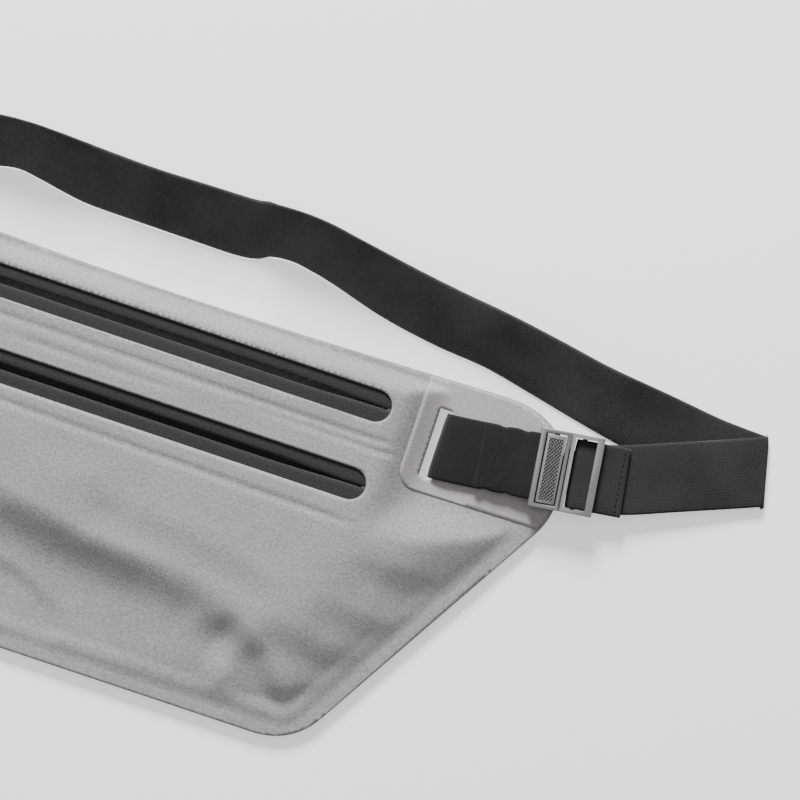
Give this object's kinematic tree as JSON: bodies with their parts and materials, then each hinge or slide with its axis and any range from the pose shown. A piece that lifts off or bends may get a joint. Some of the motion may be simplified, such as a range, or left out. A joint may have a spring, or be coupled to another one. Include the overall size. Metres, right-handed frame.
{
  "type": "money belt",
  "caption": "Flat fabric travel pouch with two zipped pockets, worn on a looped elastic waist strap with a clip buckle and a sliding adjuster.",
  "frame": {"origin": "middle of the whole belt's box on the surface that it lies on", "axes": "+X along the belt towards the clip buckle, +Y towards the strap's far run, +Z out of the pouch's front"},
  "size_m": [0.4412, 0.1837, 0.0188],
  "materials": {
    "pouch_cloth": "soft matt ripstop-weight cloth",
    "patch_cloth": "smooth bonded cloth",
    "lining": "thin dull lining",
    "zip_tape": "woven black tape",
    "zip_coil": "satin nylon coil",
    "zip_metal": "black enamelled",
    "webbing": "ribbed elastic webbing",
    "buckle": "gunmetal grey, lightly worn edges"
  },
  "bodies": {
    "pouch": {"back_panel": "pouch_cloth", "front_panel": "pouch_cloth", "pocket_divider": "lining", "right_end_patch": "patch_cloth", "left_end_patch": "patch_cloth", "upper_zip_far_tape": "zip_tape", "upper_zip_near_tape": "zip_tape", "lower_zip_far_tape": "zip_tape", "lower_zip_near_tape": "zip_tape", "upper_zip_far_coil": "zip_coil", "upper_zip_near_coil": "zip_coil", "lower_zip_far_coil": "zip_coil", "lower_zip_near_coil": "zip_coil", "upper_zip_open_end_stop": "zip_metal", "upper_zip_closed_end_stop": "zip_metal", "lower_zip_open_end_stop": "zip_metal", "lower_zip_closed_end_stop": "zip_metal", "right_anchor_loop": "webbing", "left_anchor_loop": "webbing", "waist_strap": "webbing", "receiver_frame": "buckle", "strap_adjuster": "buckle"},
    "upper_slider": {"upper_zip_slider": "zip_metal"},
    "upper_pull": {"upper_zip_pull": "zip_metal"},
    "lower_slider": {"lower_zip_slider": "zip_metal"},
    "lower_pull": {"lower_zip_pull": "zip_metal"},
    "latch": {"latch_frame": "buckle"},
    "pad": {"release_pad": "buckle"},
    "keeper": {"strap_keeper": "webbing"}
  },
  "joints": [
    {"name": "upper_zip_slide", "type": "slide", "parent": "pouch", "child": "upper_slider", "axis": [1, 0, 0], "range_m": [0, 0.15]},
    {"name": "upper_pull_swing", "type": "hinge", "parent": "upper_slider", "child": "upper_pull", "pos_m": [-0.073, 0.03315, 0.0139], "axis": [0, 1, 0], "range_deg": [0, 170]},
    {"name": "lower_zip_slide", "type": "slide", "parent": "pouch", "child": "lower_slider", "axis": [1, 0, 0], "range_m": [0, 0.15]},
    {"name": "lower_pull_swing", "type": "hinge", "parent": "lower_slider", "child": "lower_pull", "pos_m": [-0.073, 0.00415, 0.0139], "axis": [0, 1, 0], "range_deg": [0, 170]},
    {"name": "clasp_unclip", "type": "slide", "parent": "pouch", "child": "latch", "axis": [-0.9914, -0.1305, 0], "range_m": [0, 0.009], "deforming": ["right_anchor_loop"]},
    {"name": "pad_press", "type": "hinge", "parent": "latch", "child": "pad", "pos_m": [0.14058, 0.03103, 0.009], "axis": [-0.1305, 0.9914, 0], "range_deg": [0, 5], "stiffness_Nm_per_rad": 0.02},
    {"name": "keeper_slide", "type": "slide", "parent": "pouch", "child": "keeper", "axis": [-0.9273, 0.3709, -0.05], "range_m": [0, 0.012]}
  ]
}
